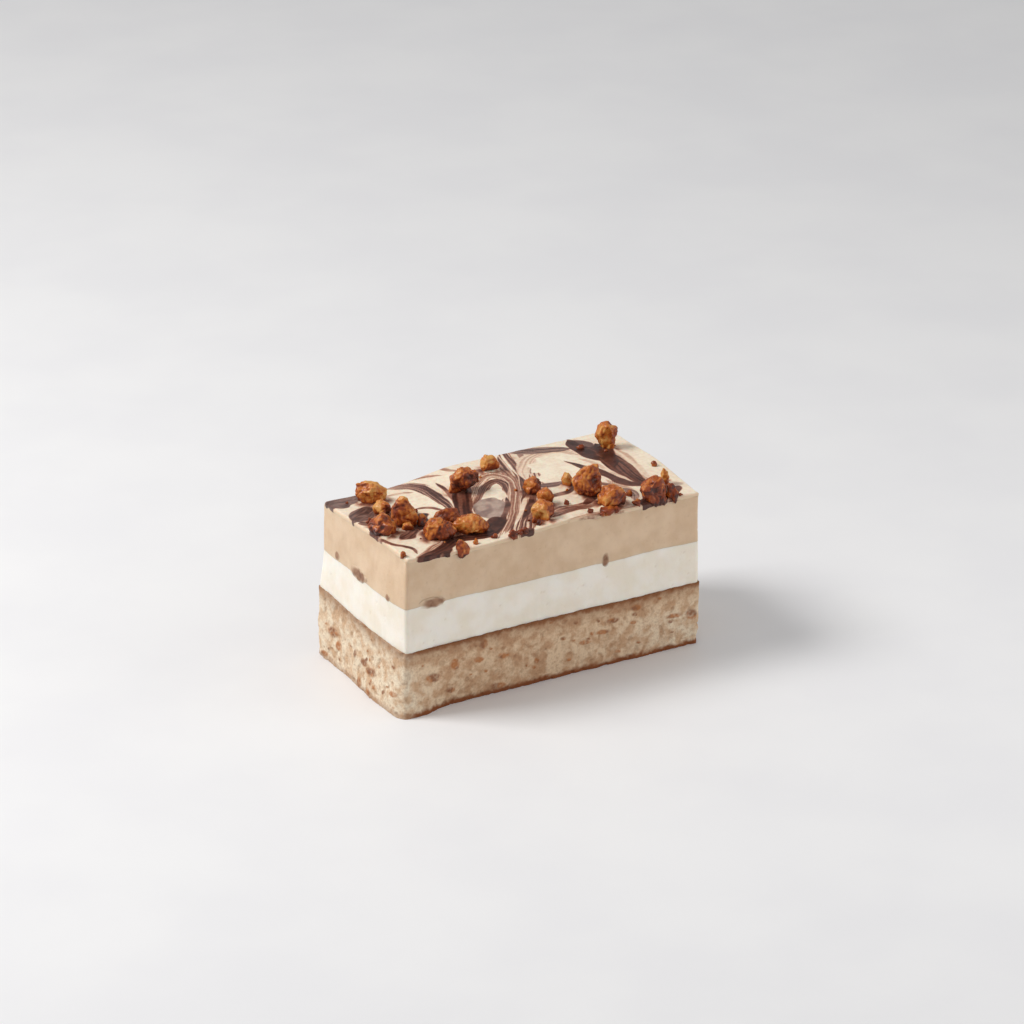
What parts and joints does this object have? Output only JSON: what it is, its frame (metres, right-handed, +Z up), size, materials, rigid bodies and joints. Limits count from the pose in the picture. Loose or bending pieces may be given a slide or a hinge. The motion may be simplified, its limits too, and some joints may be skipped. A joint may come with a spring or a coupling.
{
  "type": "walnut slice",
  "caption": "Oblong slice of layered cream cake: nut sponge, white cream, tan nut cream and a marbled glaze, topped with caramelised walnut pieces.",
  "frame": {"origin": "middle of the flat underside, on the surface that the slice stands on", "axes": "+X along the long side, +Y towards the back long face, +Z up"},
  "size_m": [0.1052, 0.0562, 0.0603],
  "materials": {
    "sponge": "open nut sponge crumb, dull, with a browned skin at the top and bottom",
    "white_cream": "set whipped cream, soft and matt, cut smooth",
    "nut_cream": "set nut cream, soft and matt, cut smooth",
    "marbled_glaze": "satin glaze, pale cream marbled with dark chocolate",
    "caramel_nut": "caramelised walnut, glossy amber to dark brown",
    "cut_nut": "walnut kernel cut through, grey-brown and dull"
  },
  "bodies": {
    "root": {"sponge_base": "sponge", "white_cream": "white_cream", "nut_cream": "nut_cream", "marbled_glaze": "marbled_glaze", "nut_back_left": "caramel_nut", "nut_mid_left": "caramel_nut", "nut_edge_left": "caramel_nut", "nut_tall_left": "caramel_nut", "nut_low_left": "caramel_nut", "nut_gap_left": "caramel_nut", "nut_flat_front": "caramel_nut", "nut_long_front": "caramel_nut", "nut_red_small": "caramel_nut", "nut_over_front": "caramel_nut", "nut_dark_middle": "caramel_nut", "nut_back_middle": "caramel_nut", "nut_centre": "caramel_nut", "nut_amber": "caramel_nut", "nut_amber_back": "caramel_nut", "nut_small_right": "caramel_nut", "nut_large_right": "caramel_nut", "nut_round_front": "caramel_nut", "nut_large_corner": "caramel_nut", "nut_upright": "caramel_nut", "nut_dark_corner": "caramel_nut", "nut_tall_back": "caramel_nut", "bit_front_long": "cut_nut", "bit_front_upright": "cut_nut", "bit_left_large": "cut_nut", "bit_left_back": "cut_nut", "bit_left_near": "cut_nut", "bit_back_long": "cut_nut", "bit_back_round": "cut_nut", "bit_right_long": "cut_nut", "bit_right_small": "cut_nut"}
  },
  "joints": []
}
